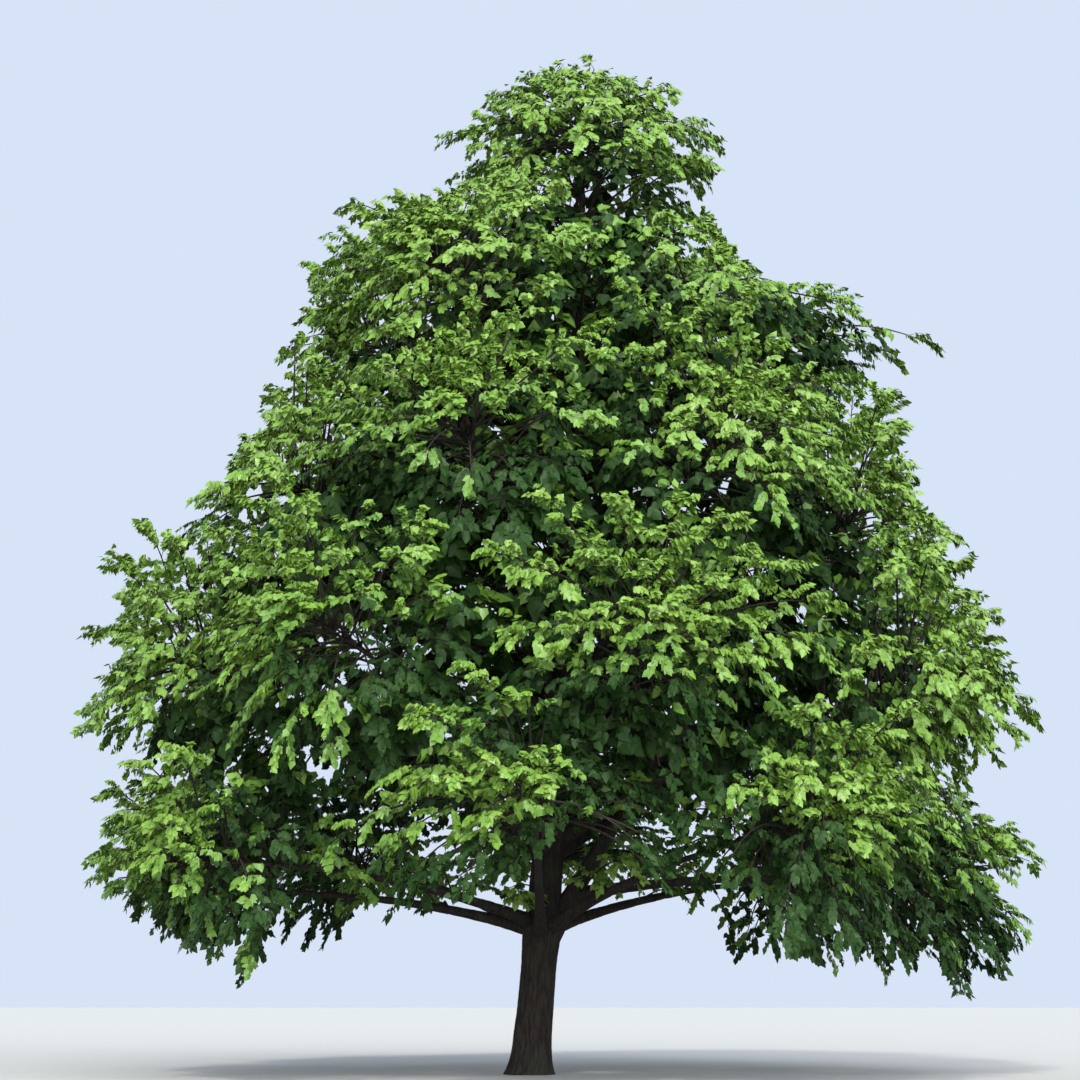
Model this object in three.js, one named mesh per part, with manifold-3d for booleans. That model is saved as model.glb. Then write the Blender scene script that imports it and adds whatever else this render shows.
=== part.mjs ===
// A full-grown small-leaved linden, standing alone: one leaning trunk that runs up through a broad,
// pointed dome of foliage. Boughs leave the trunk in four tiers, and each carries one mass of leaves.
// Millimetres, +Z up. The origin is the middle of the flat cut under the trunk, at ground level, and
// -Y is the side that the tree is seen from.
import * as THREE from 'three';
import { mergeVertices } from 'three/addons/utils/BufferGeometryUtils.js';
import Module from 'manifold-3d';

const wasm = await Module();
wasm.setup();

// The whole tree
const TREE_HEIGHT = 12000;
const CROWN_REACH = 5550;
const WIDEST_HEIGHT = 3600;
const DOME_TIP = 12450;
const DOME_POWER = 2;
const WAIST_DEPTH = 550;
const WAIST_HEIGHT = 7000;
const WAIST_SPAN = 900;
const UNDERSIDE_MIDDLE = 1900;
const UNDERSIDE_DROP = 800;
const DROP_STARTS = 1800;
const DROP_ENDS = 2700;
const BACK_RISE = 0.09;

// Where the crown bulges past that form or is drawn in: the side by its turn, the height, and how far
const LOBES = [
  { turn: 0, height: 1900, reach: 420, span: 800 },
  { turn: 180, height: 1200, reach: -1200, span: 500 },
  { turn: 180, height: 3600, reach: 300, span: 700 },
  { turn: 0, height: 8500, reach: 350, span: 500 },
  { turn: 180, height: 9700, reach: 550, span: 500 },
  { turn: 0, height: 10400, reach: -650, span: 500 },
  { turn: 180, height: 11500, reach: 350, span: 400 },
];

// The trunk: its lean at the foot eases with height, and its root flare and fork collar add to its taper
const TRUNK_TOP = 10500;
const TRUNK_RADIUS = 210;
const TAPER_HEIGHT = 11400;
const TAPER_POWER = 0.8;
const LEAN = 0.0955;
const LEAN_EASE = 3.4e-6;
const FLARE = 62;
const FLARE_HEIGHT = 170;
const BUTTRESSES = 5;
const BUTTRESS_DEPTH = 0.3;
const FORK_HEIGHT = 1560;
const COLLAR = 24;
const COLLAR_HEIGHT = 280;
const TRUNK_SIDES = 20;
const TRUNK_RINGS = 18;
const RING_CROWDING = 2.2;

// Each tier of boughs: where they leave the trunk, where their foliage ends, and how they turn round it
const TIERS = [
  { name: 'lowest', count: 8, springs: 1480, stagger: 70, tip: 1900, rise: 480, turn: -6, radius: 66 },
  { name: 'low', count: 8, springs: 2350, stagger: 110, tip: 4350, rise: 620, turn: 16, radius: 62 },
  { name: 'middle', count: 7, springs: 3700, stagger: 120, tip: 6900, rise: 560, turn: -12, radius: 54 },
  { name: 'upper', count: 5, springs: 5900, stagger: 150, tip: 9200, rise: 520, turn: 20, radius: 44 },
];
const FRONT_LIFT = 700;
const TURN_SPREAD = 12;
const TIP_SPREAD = 420;
const TIP_REACH = 0.9;
const SPINE_BEND = 0.46;
const BOUGH_ENDS = 0.56;
const SITE_ALONG = 0.84;
const TOP_SITE = 11000;
const TOP_STEM_ENDS = 11500;
const TOP_SEED = 991;
const SEED_STEP = 17;
const BOUGH_TIP_SHARE = 0.4;
const BOUGH_SIDES = 6;
const BOUGH_RINGS = 4;
const STEM_SIDES = 5;
const STEM_RINGS = 2;

// The right-hand limb springs low from the fork, steep and thick, and the lowest right bough grows on it
const RIGHT_LIMB = { springs: 1330, radius: 100, rise: 1000 };
const RIGHT_BOUGH_ALONG = 0.09;

// The foliage: twigs that each end in one large leaf, which stands for a spray of real leaves
const TWIGS = 20;
const FAN_DEGREES = 118;
const GOLDEN_TURN = Math.PI * (3 - Math.sqrt(5));
const TWIG_RADIUS = 18;
const NECK_RADIUS = 12;
const STEM_TIP_RADIUS = 20;
const STEM_ENDS = 0.95;
const SPRAY_SHARE = 0.85;
const SPRAY_SHORTEST = 700;
const SPRAY_LONGEST = 1250;
const SPRAY_SPREAD = 0.3;
const HANG = 0.6;
const ROOTS_AT = 0.72;
const ROOTS_SPREAD = 0.16;
const NECK_PULLS = [0.75, 0.9, 1.05, 1.2];
const CORE_ALONG_CROWN = 0.82;
const CORE_OUTWARDS = 0.42;
const CORE_INWARDS = 0.1;
const ROOM_STEP = 40;
const ROOM_LONGEST = 2600;

// A leaf's heart-shaped outline by shares of its length: how far along it, how wide to each side, how high
// its midrib stands and how far its edges hang
const LEAF_OUTLINE = [
  { along: 0.26, wide: 0.46, midrib: 0.035, hang: 0.08 },
  { along: 0.62, wide: 0.34, midrib: 0.035, hang: 0.08 },
];

// Clearances
const SEAT_GAP = 0.3;
const SPACE_GAP = 6;
const LIMB_GAP = 12;
const SIMPLIFY = 0.2;
const MERGE = 1e-3;
const NEARLY_ZERO = 1e-6;

const UP = new THREE.Vector3(0, 0, 1);
const ACROSS = new THREE.Vector3(0, 1, 0);

const bark = new THREE.MeshStandardMaterial({ color: 0x2f2823, roughness: 0.95, metalness: 0 });
const leafColours = { lowest: 0x3f6b22, low: 0x4a7a27, middle: 0x54852b, upper: 0x5c8f30, top: 0x659a36 };

// A number from 0 to 1 that looks random and is the same on every run
function jitter(seed) {
  const wave = Math.sin(seed * 12.9898) * 43758.5453;
  return wave - Math.floor(wave);
}

function smooth(from, to, x) {
  return THREE.MathUtils.smoothstep(x, from, to);
}

function bell(x, middle, span) {
  return Math.exp(-(((x - middle) / span) ** 2));
}

// The crown's form: the trunk's centreline, the dome's radius and the hanging underside

function axisAt(z) {
  return new THREE.Vector3(LEAN * z - LEAN_EASE * z * z, 0, z);
}

// How far the crown reaches from that centreline at a height, towards an angle round it
function reachAt(z, angle) {
  const above = Math.max(0, (z - WIDEST_HEIGHT) / (DOME_TIP - WIDEST_HEIGHT));
  const dome = CROWN_REACH * (1 - above ** DOME_POWER) - WAIST_DEPTH * bell(z, WAIST_HEIGHT, WAIST_SPAN);
  return LOBES.reduce((reach, lobe) => {
    const towards = Math.max(0, Math.cos(angle - THREE.MathUtils.degToRad(lobe.turn)));
    return reach + lobe.reach * towards ** 2 * bell(z, lobe.height, lobe.span);
  }, dome);
}

// Which way the crown's surface looks beside a point
function surfaceNormal(p) {
  const above = Math.max(0, p.z - WIDEST_HEIGHT) / (DOME_TIP - WIDEST_HEIGHT);
  const slope = DOME_POWER * CROWN_REACH * above ** (DOME_POWER - 1) / (DOME_TIP - WIDEST_HEIGHT);
  const outwards = p.clone().sub(axisAt(p.z));
  return outwards.normalize().addScaledVector(UP, slope).normalize();
}

function undersideAt(x, y) {
  const drop = UNDERSIDE_DROP * smooth(DROP_STARTS, DROP_ENDS, Math.abs(x));
  return UNDERSIDE_MIDDLE - drop + BACK_RISE * Math.max(0, y);
}

function inCrown(p) {
  const out = p.clone().sub(axisAt(p.z));
  const reach = reachAt(p.z, Math.atan2(out.y, out.x));
  return p.z < TREE_HEIGHT && p.z > undersideAt(p.x, p.y) && out.length() < reach;
}

// Solids and meshes

function solidOf(geometry) {
  const bare = geometry.clone();
  bare.deleteAttribute('normal');
  bare.deleteAttribute('uv');
  const merged = mergeVertices(bare, MERGE);
  return new wasm.Manifold(new wasm.Mesh({
    numProp: 3,
    vertProperties: merged.attributes.position.array,
    triVerts: new Uint32Array(merged.index.array),
  }));
}

// The outer skin of the largest body: loose scraps are dropped and sealed hollows filled
function largestBody(solid) {
  return solid.decompose().reduce((best, body) => (body.volume() > best.volume() ? body : best));
}

function meshOf(name, solid, material) {
  const { vertProperties, triVerts } = solid.getMesh();
  const geometry = new THREE.BufferGeometry();
  geometry.setAttribute('position', new THREE.BufferAttribute(vertProperties, 3));
  geometry.setIndex(new THREE.BufferAttribute(triVerts, 1));
  geometry.computeVertexNormals();
  const mesh = new THREE.Mesh(geometry, material);
  mesh.name = name;
  return mesh;
}

// A stretch of a curve as a curve of its own
class Stretch extends THREE.Curve {
  constructor(whole, from, to) {
    super();
    Object.assign(this, { whole, from, to });
  }

  getPoint(t, target = new THREE.Vector3()) {
    return target.copy(this.whole.getPoint(THREE.MathUtils.lerp(this.from, this.to, t)));
  }
}

// A closed round limb: a cylinder whose rings are carried along a curve that lies in one upright plane.
// across is that plane's normal, and radiusAt gives the radius by the share of the length and the angle.
function limbGeometry(curve, across, radiusAt, sides, steps) {
  const geometry = new THREE.CylinderGeometry(1, 1, 1, sides, steps);
  const place = geometry.attributes.position;
  const ring = new THREE.Vector3();
  for (let i = 0; i < place.count; i++) {
    ring.fromBufferAttribute(place, i);
    const along = ring.y + 0.5;
    const radius = radiusAt(along, Math.atan2(ring.z, ring.x));
    const tangent = curve.getTangent(along);
    const outwards = new THREE.Vector3().crossVectors(across, tangent).multiplyScalar(ring.z * radius);
    outwards.addScaledVector(across, ring.x * radius).add(curve.getPoint(along));
    place.setXYZ(i, outwards.x, outwards.y, outwards.z);
  }
  return geometry;
}

// The trunk, from the flat cut at the ground to the tip that carries the topmost leaves

// Its rings lie level, as the cut at its foot does, and crowd towards the flare
class TrunkLine extends THREE.Curve {
  getPoint(t, target = new THREE.Vector3()) {
    return target.copy(axisAt(trunkHeight(t)));
  }

  getTangent(t, target = new THREE.Vector3()) {
    return target.copy(UP);
  }
}

function trunkHeight(t) {
  return TRUNK_TOP * t ** RING_CROWDING;
}

function trunkRadius(z, angle) {
  const taper = TRUNK_RADIUS * (1 - z / TAPER_HEIGHT) ** TAPER_POWER;
  const buttress = 1 + BUTTRESS_DEPTH * Math.cos(BUTTRESSES * angle);
  const flare = FLARE * buttress * Math.exp(-z / FLARE_HEIGHT);
  const collar = COLLAR * bell(z, FORK_HEIGHT, COLLAR_HEIGHT);
  return taper + flare + collar;
}

function trunkGeometry(extra) {
  const radiusAt = (t, angle) => trunkRadius(trunkHeight(t), angle) + extra;
  return limbGeometry(new TrunkLine(), ACROSS, radiusAt, TRUNK_SIDES, TRUNK_RINGS);
}

// The boughs: each follows the inner part of a spine that runs on as the stem of its mass of leaves

function spineOf(tier, index) {
  const seed = SEED_STEP * tier.springs + index;
  const turn = tier.turn + (360 * index) / tier.count + TURN_SPREAD * (jitter(seed) - 0.5);
  const angle = THREE.MathUtils.degToRad(turn);
  const outwards = new THREE.Vector3(Math.cos(angle), Math.sin(angle), 0);
  const lift = tier.name === 'lowest' ? FRONT_LIFT * Math.abs(outwards.y) : 0;
  const tipHeight = tier.tip + lift + TIP_SPREAD * (jitter(seed + 0.3) - 0.5);
  const tip = axisAt(tipHeight).addScaledVector(outwards, TIP_REACH * reachAt(tipHeight, angle));
  const isRightLimb = tier.name === 'middle' && index === 0;
  const shape = isRightLimb ? RIGHT_LIMB : tier;
  const root = axisAt(shape.springs + (isRightLimb ? 0 : tier.stagger * (index % 3)));
  return { tier, index, seed, root, tip, rise: shape.rise, radius: shape.radius };
}

function addCurve(spine) {
  const { root, tip, rise } = spine;
  const bend = root.clone().lerp(tip, SPINE_BEND);
  bend.z += rise;
  spine.curve = new THREE.QuadraticBezierCurve3(root, bend, tip);
  const level = tip.clone().sub(root).setZ(0).normalize();
  spine.across = new THREE.Vector3().crossVectors(UP, level);
  return spine;
}

const spines = TIERS.flatMap((tier) => Array.from({ length: tier.count }, (_, i) => spineOf(tier, i)));
const rightLimb = spines.find((s) => s.tier.name === 'middle' && s.index === 0);
const rightBough = spines.find((s) => s.tier.name === 'lowest' && s.index === 0);
addCurve(rightLimb);
rightBough.root = rightLimb.curve.getPoint(RIGHT_BOUGH_ALONG);
spines.filter((s) => s !== rightLimb).forEach(addCurve);

function boughGeometry(spine, extra) {
  const { curve, across, radius } = spine;
  const radiusAt = (t) => radius * THREE.MathUtils.lerp(1, BOUGH_TIP_SHARE, t) + extra;
  return limbGeometry(new Stretch(curve, 0, BOUGH_ENDS), across, radiusAt, BOUGH_SIDES, BOUGH_RINGS);
}

const trunkSolid = solidOf(trunkGeometry(0));
const trunkSeat = solidOf(trunkGeometry(SEAT_GAP));
const rightLimbSeat = solidOf(boughGeometry(rightLimb, SEAT_GAP));

// A bough is cut to sit on what carries it: the trunk or, for the lowest right bough, the right limb
function boughSolid(spine) {
  const whole = solidOf(boughGeometry(spine, 0));
  const seated = whole.subtract(trunkSeat);
  return largestBody(spine === rightBough ? seated.subtract(rightLimbSeat) : seated);
}

// What leaves and twigs have to keep clear of
const limbsWithRoom = wasm.Manifold.union([
  solidOf(trunkGeometry(LIMB_GAP)),
  ...spines.map((spine) => solidOf(boughGeometry(spine, LIMB_GAP))),
]);

// The masses of leaves. Each keeps to the part of the crown that is nearer to its site than to any other.

// The topmost mass grows straight up from the trunk's tip
const topStemFoot = axisAt(TRUNK_TOP).setZ(TRUNK_TOP + SEAT_GAP);
const topMass = {
  name: 'leaves_top',
  colour: leafColours.top,
  seed: TOP_SEED,
  across: ACROSS,
  site: axisAt(TOP_SITE),
  stem: new THREE.LineCurve3(topStemFoot, topStemFoot.clone().setZ(TOP_STEM_ENDS)),
  stemRadius: trunkRadius(TRUNK_TOP, 0),
};

function massOn(spine) {
  const gap = SEAT_GAP / spine.curve.getLength();
  return {
    name: `leaves_${spine.tier.name}_${spine.index + 1}`,
    colour: leafColours[spine.tier.name],
    seed: spine.seed,
    across: spine.across,
    site: spine.curve.getPoint(SITE_ALONG),
    stem: new Stretch(spine.curve, BOUGH_ENDS + gap, STEM_ENDS),
    stemRadius: spine.radius * BOUGH_TIP_SHARE,
  };
}

const masses = [...spines.map(massOn), topMass];

function inSpace(mass, p) {
  return inCrown(p) && masses.every((other) => {
    if (other === mass) return true;
    const apart = other.site.clone().sub(mass.site);
    const distance = apart.length();
    return p.clone().sub(mass.site).dot(apart) / distance < distance / 2 - SPACE_GAP;
  });
}

// How far the mass's space goes from a point in one direction
function roomAlong(mass, from, direction) {
  let room = 0;
  while (room < ROOM_LONGEST && inSpace(mass, from.clone().addScaledVector(direction, room + ROOM_STEP))) {
    room += ROOM_STEP;
  }
  return room;
}

function touchesLimb(solid) {
  return !solid.intersect(limbsWithRoom).isEmpty();
}

// A three-sided twig and the leaf that it ends in, as one cone with a row of points at the root, at the
// neck where twig turns to leaf, at each place of the outline, and at the tip
function sprayGeometry(root, neck, hanging, facing, length) {
  const side = new THREE.Vector3().crossVectors(hanging, facing).normalize();
  const upper = new THREE.Vector3().crossVectors(side, hanging);
  const rows = [
    { at: root, wide: TWIG_RADIUS, midrib: TWIG_RADIUS, hang: TWIG_RADIUS / 2 },
    { at: neck, wide: NECK_RADIUS, midrib: NECK_RADIUS, hang: NECK_RADIUS / 2 },
    ...LEAF_OUTLINE.map((place) => ({
      at: neck.clone().addScaledVector(hanging, place.along * length),
      wide: place.wide * length,
      midrib: place.midrib * length,
      hang: place.hang * length,
    })),
    { at: neck.clone().addScaledVector(hanging, length), wide: 0, midrib: 0, hang: 0 },
  ];
  const geometry = new THREE.ConeGeometry(1, 1, 3, rows.length - 1);
  const place = geometry.attributes.position;
  for (let i = 0; i < place.count; i++) {
    const row = rows[Math.round((rows.length - 1) * (place.getY(i) + 0.5))];
    const edge = Math.abs(place.getX(i)) > NEARLY_ZERO ? Math.sign(place.getX(i)) : 0;
    const isCap = edge === 0 && place.getZ(i) < NEARLY_ZERO;
    const lift = edge === 0 ? row.midrib : -row.hang;
    const point = row.at.clone().addScaledVector(side, edge * row.wide);
    if (!isCap) point.addScaledVector(upper, lift);
    place.setXYZ(i, point.x, point.y, point.z);
  }
  return geometry;
}

function keepsToSpace(mass, geometry) {
  const corners = geometry.attributes.position;
  return Array.from({ length: corners.count }, (_, i) => new THREE.Vector3().fromBufferAttribute(corners, i))
    .every((corner) => inSpace(mass, corner));
}

// Twigs fan out round the stem by the golden angle, from straight ahead to back past its sides
function fanDirection(mass, k) {
  const ahead = mass.stem.getTangent(0.5);
  const cap = 1 - Math.cos(THREE.MathUtils.degToRad(FAN_DEGREES));
  const lean = Math.acos(1 - cap * (k + 0.5) / TWIGS);
  const turn = k * GOLDEN_TURN + mass.seed;
  const upper = new THREE.Vector3().crossVectors(ahead, mass.across);
  return ahead.multiplyScalar(Math.cos(lean))
    .addScaledVector(mass.across, Math.sin(lean) * Math.cos(turn))
    .addScaledVector(upper, Math.sin(lean) * Math.sin(turn));
}

// One spray: its neck is drawn in until it keeps to the mass's space, and it is left out where it can't
// or where it would touch a limb
function growSpray(mass, k) {
  const direction = fanDirection(mass, k);
  const room = roomAlong(mass, mass.site, direction);
  const root = mass.stem.getPoint(ROOTS_AT + ROOTS_SPREAD * (0.5 - k / TWIGS));
  const wanted = SPRAY_SHARE * room * (1 + SPRAY_SPREAD * (jitter(mass.seed + k) - 0.5));
  const length = THREE.MathUtils.clamp(wanted, SPRAY_SHORTEST, SPRAY_LONGEST);
  const hanging = direction.clone().addScaledVector(UP, HANG * (direction.z - 1)).normalize();
  const facing = direction.clone().add(UP).normalize();
  const neckAt = (pull) => mass.site.clone().addScaledVector(direction, Math.max(0, room - pull * length));
  const geometry = NECK_PULLS.map((pull) => sprayGeometry(root, neckAt(pull), hanging, facing, length))
    .find((spray) => keepsToSpace(mass, spray));
  const spray = geometry && solidOf(geometry);
  return spray && !touchesLimb(spray) ? spray : null;
}

// The smaller core that a dense mass's sprays stand out of: a pillow that lies along the crown's surface,
// cut clear of the limbs
function coreSolid(mass) {
  const normal = surfaceNormal(mass.site);
  const geometry = new THREE.IcosahedronGeometry(1);
  const place = geometry.attributes.position;
  for (let i = 0; i < place.count; i++) {
    const corner = new THREE.Vector3().fromBufferAttribute(place, i).normalize();
    const outwards = corner.dot(normal);
    const deep = outwards > 0 ? CORE_OUTWARDS : CORE_INWARDS;
    const share = THREE.MathUtils.lerp(CORE_ALONG_CROWN, deep, Math.abs(outwards));
    corner.multiplyScalar(share * roomAlong(mass, mass.site, corner)).add(mass.site);
    place.setXYZ(i, corner.x, corner.y, corner.z);
  }
  return solidOf(geometry).subtract(limbsWithRoom);
}

// A spray that would cut another one outside the core is left out
function massSolid(mass) {
  const radiusAt = (t) => THREE.MathUtils.lerp(mass.stemRadius, STEM_TIP_RADIUS, t);
  const stem = solidOf(limbGeometry(mass.stem, mass.across, radiusAt, STEM_SIDES, STEM_RINGS));
  const core = coreSolid(mass);
  const kept = [];
  for (let k = 0; k < TWIGS; k++) {
    const spray = growSpray(mass, k);
    const leaves = spray && spray.subtract(core);
    const isClear = spray && kept.every((other) => other.leaves.intersect(leaves).isEmpty());
    if (isClear) kept.push({ spray, leaves });
  }
  const fused = wasm.Manifold.union([stem, core, ...kept.map(({ spray }) => spray)]);
  return largestBody(fused.simplify(SIMPLIFY));
}

// The assembly

const linden = new THREE.Group();
linden.name = 'small_leaved_linden';
linden.add(meshOf('trunk', trunkSolid, bark));
spines.forEach((spine) => {
  linden.add(meshOf(`bough_${spine.tier.name}_${spine.index + 1}`, boughSolid(spine), bark));
});
masses.forEach((mass) => {
  const green = new THREE.MeshStandardMaterial({ color: mass.colour, roughness: 0.6, metalness: 0 });
  linden.add(meshOf(mass.name, massSolid(mass), green));
});

export default linden;
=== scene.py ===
import bpy
import numpy as np
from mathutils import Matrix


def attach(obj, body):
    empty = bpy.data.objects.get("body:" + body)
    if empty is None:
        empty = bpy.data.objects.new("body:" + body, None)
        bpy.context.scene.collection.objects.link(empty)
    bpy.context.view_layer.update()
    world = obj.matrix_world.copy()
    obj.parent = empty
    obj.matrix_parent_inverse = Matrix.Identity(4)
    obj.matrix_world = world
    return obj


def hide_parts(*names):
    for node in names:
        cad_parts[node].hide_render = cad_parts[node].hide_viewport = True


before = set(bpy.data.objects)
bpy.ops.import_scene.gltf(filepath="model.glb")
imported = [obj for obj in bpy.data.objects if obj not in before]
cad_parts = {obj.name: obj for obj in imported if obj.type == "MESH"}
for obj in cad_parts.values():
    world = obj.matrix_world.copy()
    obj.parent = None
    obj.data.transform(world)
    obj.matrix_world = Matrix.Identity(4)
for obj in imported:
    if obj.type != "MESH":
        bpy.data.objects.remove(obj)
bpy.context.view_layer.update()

# The trunk: one leaning stem of hardwood from the flat cut at ground level up through the crown, widest at
# its root flare and swollen where it forks. Its bark is dark and painted darker, near black, as painted shade
# from the crown above, and splits into long ridges that net.
UP = np.array([0.0, 0.0, 1.0])
ACROSS_LEAN = np.array([0.0, 1.0, 0.0])
LEAST_LENGTH = 1e-9
LEAN = 0.0955
LEAN_EASE = 0.0034
TRUNK_TOP = 10.5
TRUNK_RADIUS = 0.21
TAPER_HEIGHT = 11.4
TAPER_POWER = 0.8
FLARE = 0.062
FLARE_HEIGHT = 0.17
BUTTRESSES = 5
BUTTRESS_DEPTH = 0.3
FORK_HEIGHT = 1.56
COLLAR = 0.024
COLLAR_HEIGHT = 0.28
TRUNK_SIDES = 220
TRUNK_RINGS = 400
RING_CROWDING = 2.2
TRUNK_RIDGES = 24
TRUNK_NETS = 22
TRUNK_BARK_SEED = 5
FURROW_DEPTH = 0.013
FURROW_WIDTH = 0.62
FURROW_BEND = 5
CROSSING_BEND = 0.7
CROSSING_SHIFT = 1
BENDS_AROUND = 7
BENDS_PER_NET = 3
RIDGE_LEVEL = 0.75
ROUGHNESS = 0.35
ROUGH_PER_RIDGE = 4
ROUGH_PER_NET = 40
LUMPINESS = 0.7
LUMPS_AROUND = 6
LUMPS_PER_NET = 2
BARK_SHINE = 0.25
GRAIN_HEIGHT = 0.35


def bell(x, middle, span):
    """A bell curve: e to the minus square of the distance from the middle, counted in spans."""
    return np.exp(-(((x - middle) / span) ** 2))


def smooth(start, end, x):
    """An eased step from 0 to 1 between start and end: three squares less two cubes of the share of the way."""
    share = np.clip((x - start) / (end - start), 0, 1)
    return share * share * (3 - 2 * share)


def normalized(vectors):
    """Each vector over its own length, which counts as no less than the least length."""
    return vectors / np.maximum(np.linalg.norm(vectors, axis=-1, keepdims=True), LEAST_LENGTH)


def axis_at(z):
    """The trunk's centreline: it leans to +X by a share of the height, less a share of the height squared."""
    z = np.asarray(z, float)
    return np.stack([LEAN * z - LEAN_EASE * z * z, np.zeros_like(z), z], -1)


def trunk_radius(z, angle):
    """A radius that tapers by a power of the height left, plus a flare that dies away above the ground and
    waves round the foot, plus a bell-shaped collar at the fork."""
    taper = TRUNK_RADIUS * np.maximum(1 - z / TAPER_HEIGHT, 0) ** TAPER_POWER
    flare = FLARE * (1 + BUTTRESS_DEPTH * np.cos(BUTTRESSES * angle)) * np.exp(-z / FLARE_HEIGHT)
    return taper + flare + COLLAR * bell(z, FORK_HEIGHT, COLLAR_HEIGHT)


def wander(around, along, columns, rows, seed):
    """Smooth noise from 0 to 1: random numbers on a lattice that closes on itself round the limb, with eased
    steps between them. around and along run from 0 to 1."""
    lattice = np.random.default_rng(seed).random((rows + 2, columns))
    a, b = np.broadcast_arrays(around * columns, along * rows)
    i, j = np.floor(a).astype(int), np.floor(b).astype(int)
    s, t = smooth(0, 1, a - i), smooth(0, 1, b - j)
    left, right = i % columns, (i + 1) % columns
    lower = lattice[j, left] * (1 - s) + lattice[j, right] * s
    upper = lattice[j + 1, left] * (1 - s) + lattice[j + 1, right] * s
    return lower * (1 - t) + upper * t


def bark_relief(around, along, ridges, nets, depth, seed):
    """How far the bark stands out. Two sets of furrows slant either way and cross, each where a sine that
    noise bends comes to zero. The ridges between them are rounded, and finer noise roughens them."""
    bend = FURROW_BEND * wander(around, along, BENDS_AROUND, BENDS_PER_NET * nets, seed)
    slant = np.pi * nets * along
    leftward = np.abs(np.sin(np.pi * ridges * around + slant + bend))
    rightward = np.abs(np.sin(np.pi * ridges * around - slant + bend * CROSSING_BEND + CROSSING_SHIFT))
    ridge = smooth(0, FURROW_WIDTH, np.minimum(leftward, rightward))
    rough = wander(around, along, ROUGH_PER_RIDGE * ridges, ROUGH_PER_NET * nets, seed + 1) - 0.5
    lumps = wander(around, along, LUMPS_AROUND, LUMPS_PER_NET * nets, seed + 2) - 0.5
    return depth * (ridge - RIDGE_LEVEL + ROUGHNESS * rough + LUMPINESS * lumps)


def tubes(paths, radii, across, sides, pointed=False):
    """Closed round limbs. Each follows a path in an upright plane, whose normal is across: a ring of points at
    the radius stands square round every place of the path, and a middle point closes each end. A pointed limb
    has no ring at its tip. Gives the vertices and the triangles of all limbs, one limb after the other."""
    limbs, rings = len(paths), paths.shape[1] - pointed
    tangents = normalized(np.gradient(paths, axis=1))
    outwards = np.cross(across[:, None], tangents)
    angle = 2 * np.pi * np.arange(sides) / sides
    ring = across[:, None, None] * np.cos(angle)[:, None] + outwards[:, :, None] * np.sin(angle)[:, None]
    skin = paths[:, :, None] + ring * np.broadcast_to(radii, (*paths.shape[:2], sides))[..., None]
    vertices = np.concatenate([skin[:, :rings].reshape(limbs, -1, 3), paths[:, :1], paths[:, -1:]], 1)
    here = np.arange(rings * sides).reshape(rings, sides)
    beside = np.roll(here, -1, 1)
    walls = np.stack([here[:-1], here[1:], beside[1:], here[:-1], beside[1:], beside[:-1]], -1)
    walls = walls.reshape(-1, 3)
    foot, tip = np.full(sides, rings * sides), np.full(sides, rings * sides + 1)
    foot_end = np.stack([foot, here[0], beside[0]], -1)
    tip_end = np.stack([tip, beside[-1], here[-1]], -1)
    faces = np.concatenate([walls, foot_end, tip_end])
    starts = np.arange(limbs) * (rings * sides + 2)
    return vertices.reshape(-1, 3), (faces + starts[:, None, None]).reshape(-1, 3)


def piece_of(name, vertices, faces, *materials):
    """An object at the origin, with smooth shading, from whole arrays of vertices and of triangles."""
    mesh = bpy.data.meshes.new(name)
    mesh.vertices.add(len(vertices))
    mesh.vertices.foreach_set("co", vertices.astype(np.float32).ravel())
    mesh.loops.add(faces.size)
    mesh.loops.foreach_set("vertex_index", faces.astype(np.int32).ravel())
    mesh.polygons.add(len(faces))
    mesh.polygons.foreach_set("loop_start", np.arange(0, faces.size, 3, dtype=np.int32))
    mesh.update(calc_edges=True)
    mesh.shade_smooth()
    for material in materials:
        mesh.materials.append(material)
    piece = bpy.data.objects.new(name, mesh)
    bpy.context.scene.collection.objects.link(piece)
    return piece


def add_node(tree, kind, inputs=(), **settings):
    """One node with its settings, and its inputs set to values or linked to other nodes' sockets."""
    node = tree.nodes.new(kind)
    for name, value in settings.items():
        setattr(node, name, value)
    for socket, value in dict(inputs).items():
        if isinstance(value, bpy.types.NodeSocket):
            tree.links.new(value, node.inputs[socket])
        else:
            node.inputs[socket].default_value = value
    return node


def blend_colours(tree, share, first, second):
    """The colour that lies a share of the way from the first to the second, each a socket or three numbers."""
    first, second = (
        colour if isinstance(colour, bpy.types.NodeSocket) else (*colour, 1) for colour in (first, second))
    mix = add_node(tree, "ShaderNodeMix", {0: share, 6: first, 7: second}, data_type="RGBA")
    return mix.outputs[2]


def reckon(tree, operation, *values):
    """One step of arithmetic on sockets or numbers."""
    return add_node(tree, "ShaderNodeMath", enumerate(values), operation=operation).outputs[0]


def map_range(tree, value, start=0.0, end=1.0, low=0.0, high=1.0):
    """A value's share of the way from start to end, held between 0 and 1 and laid out from low to high."""
    return add_node(tree, "ShaderNodeMapRange", {
        "Value": value, "From Min": start, "From Max": end, "To Min": low, "To Max": high}).outputs[0]


def put_out(group, **sockets):
    """A group's outputs, each named and fed by a socket."""
    for name in sockets:
        group.interface.new_socket(name, in_out="OUTPUT", socket_type="NodeSocketFloat")
    made = group.nodes.new("NodeGroupOutput")
    for name, socket in sockets.items():
        group.links.new(socket, made.inputs[name])


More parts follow.
